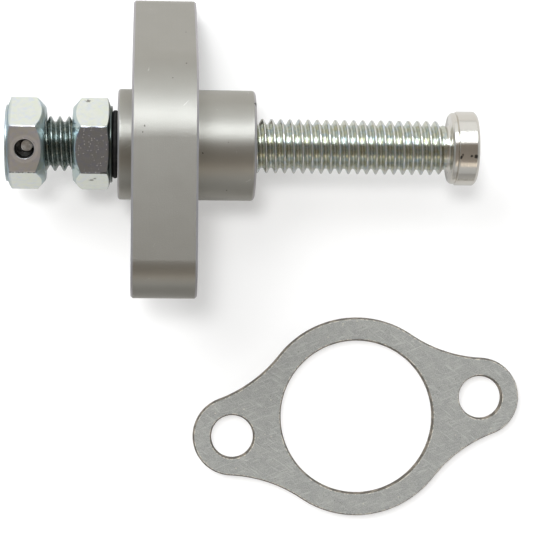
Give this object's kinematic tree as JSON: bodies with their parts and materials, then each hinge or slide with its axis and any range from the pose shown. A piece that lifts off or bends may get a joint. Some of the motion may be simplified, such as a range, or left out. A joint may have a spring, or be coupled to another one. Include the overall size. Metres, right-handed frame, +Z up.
{
  "type": "cam chain tensioner",
  "caption": "Manual cam chain tensioner: billet flange body with a long threaded adjuster bolt, lock nut, sealing ring and its flange gasket laid beside it.",
  "frame": {"origin": "centre of the flange face that seats on the engine, on the adjuster bolt's axis", "axes": "+X along the adjuster bolt towards the chain guide, +Z up from the surface that the part lies on, +Y to its left seen along +X"},
  "size_m": [0.0926, 0.0926, 0.036],
  "materials": {
    "anodised_billet": "satin clear anodised, machined",
    "zinc_bolt": "bright zinc plate over a rolled thread",
    "zinc_nut": "bright zinc plate",
    "pin_steel": "plain steel, cut end",
    "black_rubber": "moulded nitrile",
    "jointing_sheet": "pressed fibre jointing sheet, grey and speckled"
  },
  "bodies": {
    "housing": {"tensioner_body": "anodised_billet", "flange_gasket": "jointing_sheet"},
    "seal": {"seal_ring": "black_rubber"},
    "adjuster": {"adjuster_bolt": "zinc_bolt", "drive_nut": "zinc_nut", "cross_pin": "pin_steel"},
    "lock": {"lock_nut": "zinc_nut"}
  },
  "joints": [
    {"name": "adjuster_turn", "type": "hinge", "parent": "housing", "child": "seal", "pos_m": [0, 0, 0], "axis": [1, 0, 0], "range_deg": [-7507, 499]},
    {"name": "adjuster_feed", "type": "slide", "parent": "seal", "child": "adjuster", "axis": [1, 0, 0], "range_m": [-0.0331, 0.0022]},
    {"name": "lock_back_off", "type": "slide", "parent": "housing", "child": "lock", "axis": [1, 0, 0], "range_m": [-0.0022, 0]}
  ],
  "couplings": [
    {"joint": "adjuster_turn", "follows": "adjuster_feed", "rad_per_m": 3957.9}
  ]
}
